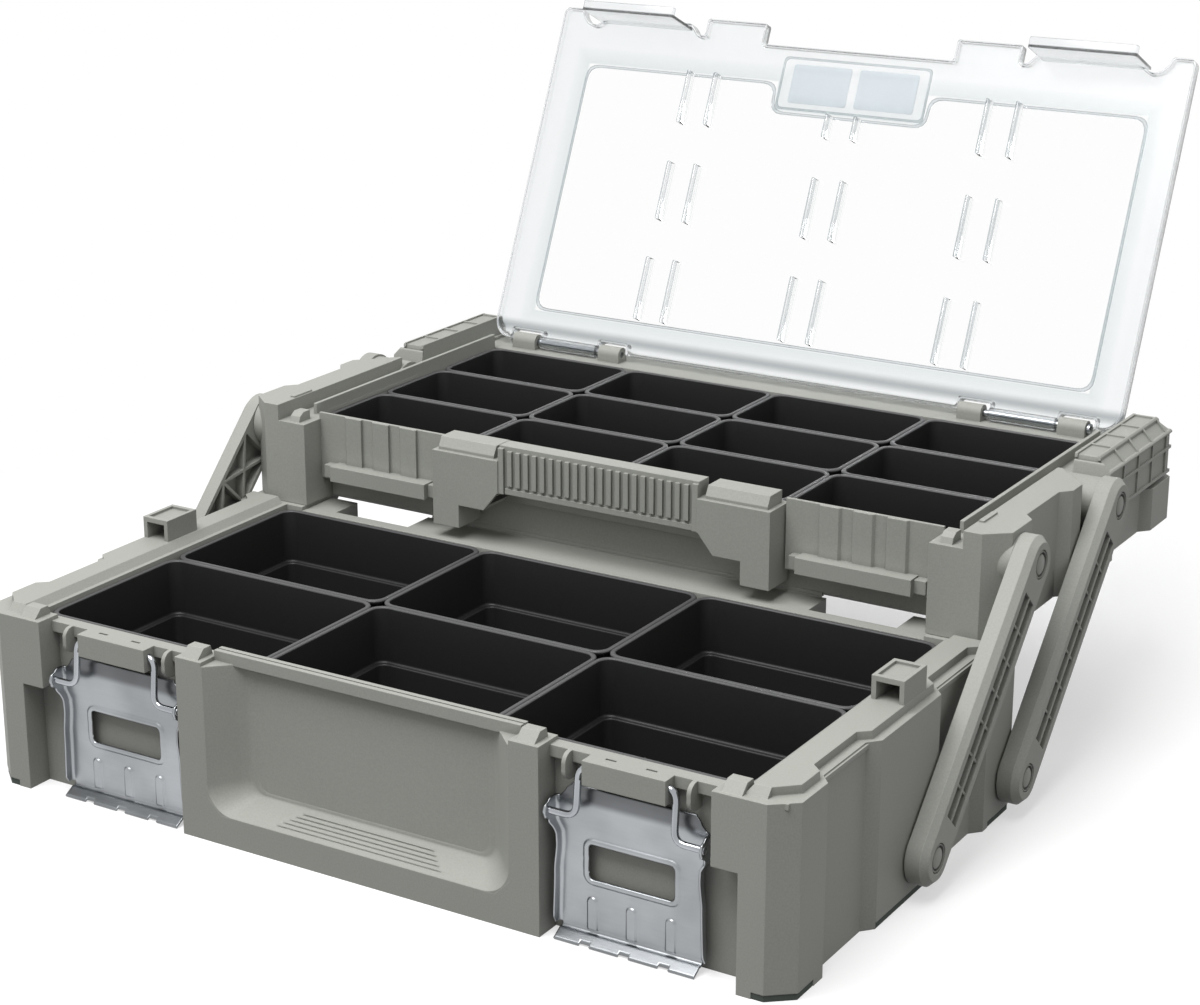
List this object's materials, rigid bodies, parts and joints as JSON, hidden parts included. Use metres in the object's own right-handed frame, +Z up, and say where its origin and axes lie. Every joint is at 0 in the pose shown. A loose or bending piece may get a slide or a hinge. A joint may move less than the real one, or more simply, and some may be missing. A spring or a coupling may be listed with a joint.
{
  "type": "cantilever tool box",
  "caption": "Cantilever organiser box: a divided upper tray on swinging side arms lifts back off a base of deep bins, with a clear hinged lid, front handle and wire-bail latches.",
  "frame": {"origin": "middle of the base's front bottom edge, on the surface the box stands on", "axes": "+X to the right seen from the front, +Y to the back, +Z up; the box stands open at rest"},
  "size_m": [0.596, 0.6451, 0.4261],
  "materials": {
    "grey_plastic": "fine matt texture",
    "black_plastic": "matt",
    "pin_plastic": "satin",
    "foot_rubber": "matt",
    "zinc_steel": "bright zinc plating",
    "clear_plastic": "clear, polished",
    "label_card": "matt"
  },
  "bodies": {
    "base": {"base_shell": "grey_plastic", "base_feet": "foot_rubber", "large_bin_1": "black_plastic", "large_bin_2": "black_plastic", "large_bin_3": "black_plastic", "large_bin_4": "black_plastic", "large_bin_5": "black_plastic", "large_bin_6": "black_plastic", "base_pins": "pin_plastic"},
    "arm_right_front": {"arm_right_front": "grey_plastic"},
    "arm_right_rear": {"arm_right_rear": "grey_plastic"},
    "arm_left_front": {"arm_left_front": "grey_plastic"},
    "arm_left_rear": {"arm_left_rear": "grey_plastic"},
    "tray": {"tray_shell": "grey_plastic", "rear_cap_left": "grey_plastic", "rear_cap_right": "grey_plastic", "carry_handle": "grey_plastic", "small_bin_1": "black_plastic", "small_bin_2": "black_plastic", "small_bin_3": "black_plastic", "small_bin_4": "black_plastic", "small_bin_5": "black_plastic", "small_bin_6": "black_plastic", "small_bin_7": "black_plastic", "small_bin_8": "black_plastic", "small_bin_9": "black_plastic", "small_bin_10": "black_plastic", "small_bin_11": "black_plastic", "small_bin_12": "black_plastic", "tray_pins": "pin_plastic", "hinge_rods": "zinc_steel"},
    "lid": {"lid_panel": "clear_plastic", "lid_labels": "label_card"},
    "bail_left": {"bail_left": "zinc_steel"},
    "bail_right": {"bail_right": "zinc_steel"},
    "plate_left": {"latch_plate_left": "zinc_steel"},
    "plate_right": {"latch_plate_right": "zinc_steel"}
  },
  "joints": [
    {"name": "arm_right_front_pivot", "type": "hinge", "parent": "base", "child": "arm_right_front", "pos_m": [0.2914, 0.157, 0.0265], "axis": [1, 0, 0], "range_deg": [0, 88.4]},
    {"name": "arm_right_rear_pivot", "type": "hinge", "parent": "base", "child": "arm_right_rear", "pos_m": [0.2914, 0.2875, 0.0265], "axis": [1, 0, 0], "range_deg": [0, 88.4]},
    {"name": "arm_left_front_pivot", "type": "hinge", "parent": "base", "child": "arm_left_front", "pos_m": [-0.2914, 0.157, 0.0265], "axis": [1, 0, 0], "range_deg": [0, 88.4]},
    {"name": "arm_left_rear_pivot", "type": "hinge", "parent": "base", "child": "arm_left_rear", "pos_m": [-0.2914, 0.2875, 0.0265], "axis": [1, 0, 0], "range_deg": [0, 88.4]},
    {"name": "tray_pivot", "type": "hinge", "parent": "arm_right_front", "child": "tray", "pos_m": [0.2914, 0.29051, 0.16379], "axis": [1, 0, 0], "range_deg": [-88.4, 0]},
    {"name": "lid_hinge", "type": "hinge", "parent": "tray", "child": "lid", "pos_m": [0, 0.52951, 0.1766], "axis": [1, 0, 0], "range_deg": [0, 114.3]},
    {"name": "bail_left_pivot", "type": "hinge", "parent": "base", "child": "bail_left", "pos_m": [-0.1806, 0.007, 0.107], "axis": [-1, 0, 0], "range_deg": [0, 120]},
    {"name": "bail_right_pivot", "type": "hinge", "parent": "base", "child": "bail_right", "pos_m": [0.1806, 0.007, 0.107], "axis": [-1, 0, 0], "range_deg": [0, 120]},
    {"name": "plate_left_pivot", "type": "hinge", "parent": "bail_left", "child": "plate_left", "pos_m": [-0.1806, 0.004, 0.0775], "axis": [-1, 0, 0], "range_deg": [0, 60]},
    {"name": "plate_right_pivot", "type": "hinge", "parent": "bail_right", "child": "plate_right", "pos_m": [0.1806, 0.004, 0.0775], "axis": [-1, 0, 0], "range_deg": [0, 60]}
  ],
  "couplings": [
    {"joint": "arm_right_rear_pivot", "follows": "arm_right_front_pivot", "ratio": 1},
    {"joint": "arm_left_front_pivot", "follows": "arm_right_front_pivot", "ratio": 1},
    {"joint": "arm_left_rear_pivot", "follows": "arm_right_front_pivot", "ratio": 1},
    {"joint": "tray_pivot", "follows": "arm_right_front_pivot", "ratio": -1},
    {"joint": "plate_left_pivot", "follows": "bail_left_pivot", "ratio": 0.5},
    {"joint": "plate_right_pivot", "follows": "bail_right_pivot", "ratio": 0.5}
  ]
}
